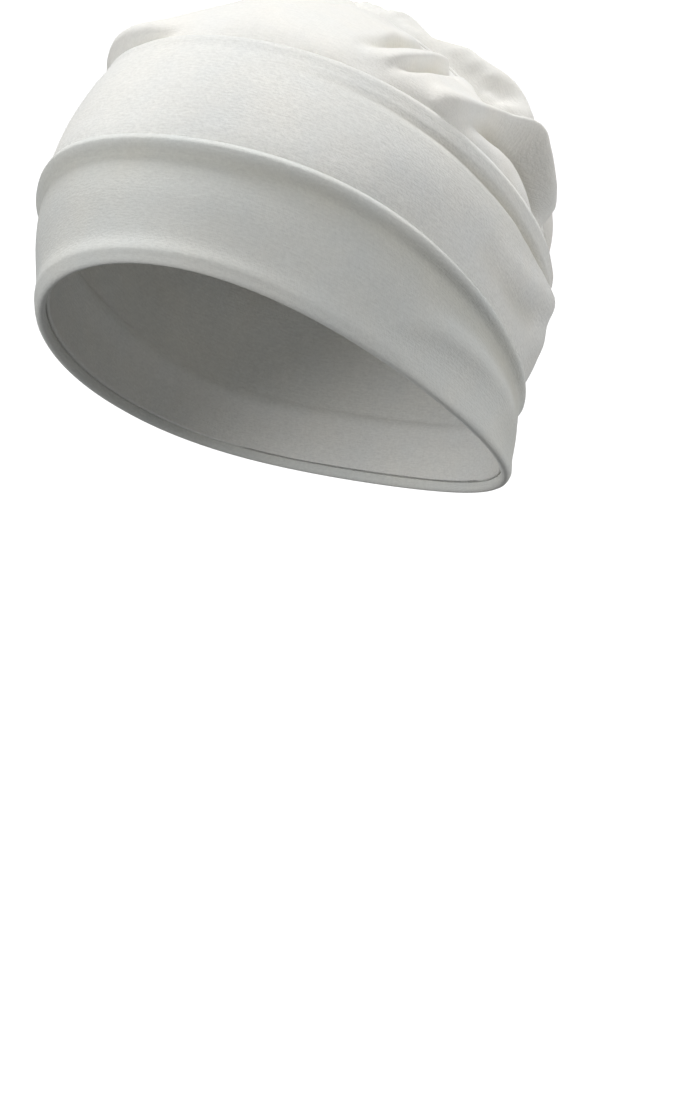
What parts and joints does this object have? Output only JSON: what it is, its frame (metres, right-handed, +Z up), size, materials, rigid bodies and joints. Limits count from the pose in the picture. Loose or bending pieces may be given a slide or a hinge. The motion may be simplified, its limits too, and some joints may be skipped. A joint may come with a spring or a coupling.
{
  "type": "chemo cap",
  "caption": "Soft stretch-jersey head covering with a turned-up cuff, a smooth band and a gathered crown with a seam over the top.",
  "frame": {"origin": "the place inside the crown where the top of the head bears", "axes": "+Z up, the brow faces -Y, the wearer's left is +X"},
  "size_m": [0.1535, 0.204, 0.1689],
  "materials": {
    "cuff_jersey": "fine stretch jersey, off-white with a cool cast, matt",
    "band_jersey": "fine stretch jersey, off-white, matt",
    "crown_jersey": "fine stretch jersey, warm off-white, matt, softly gathered",
    "seam_jersey": "jersey seam allowance, off-white, matt"
  },
  "bodies": {
    "root": {"cuff": "cuff_jersey", "band": "band_jersey", "crown_front": "crown_jersey", "crown_back": "crown_jersey", "crown_seam": "seam_jersey"}
  },
  "joints": []
}
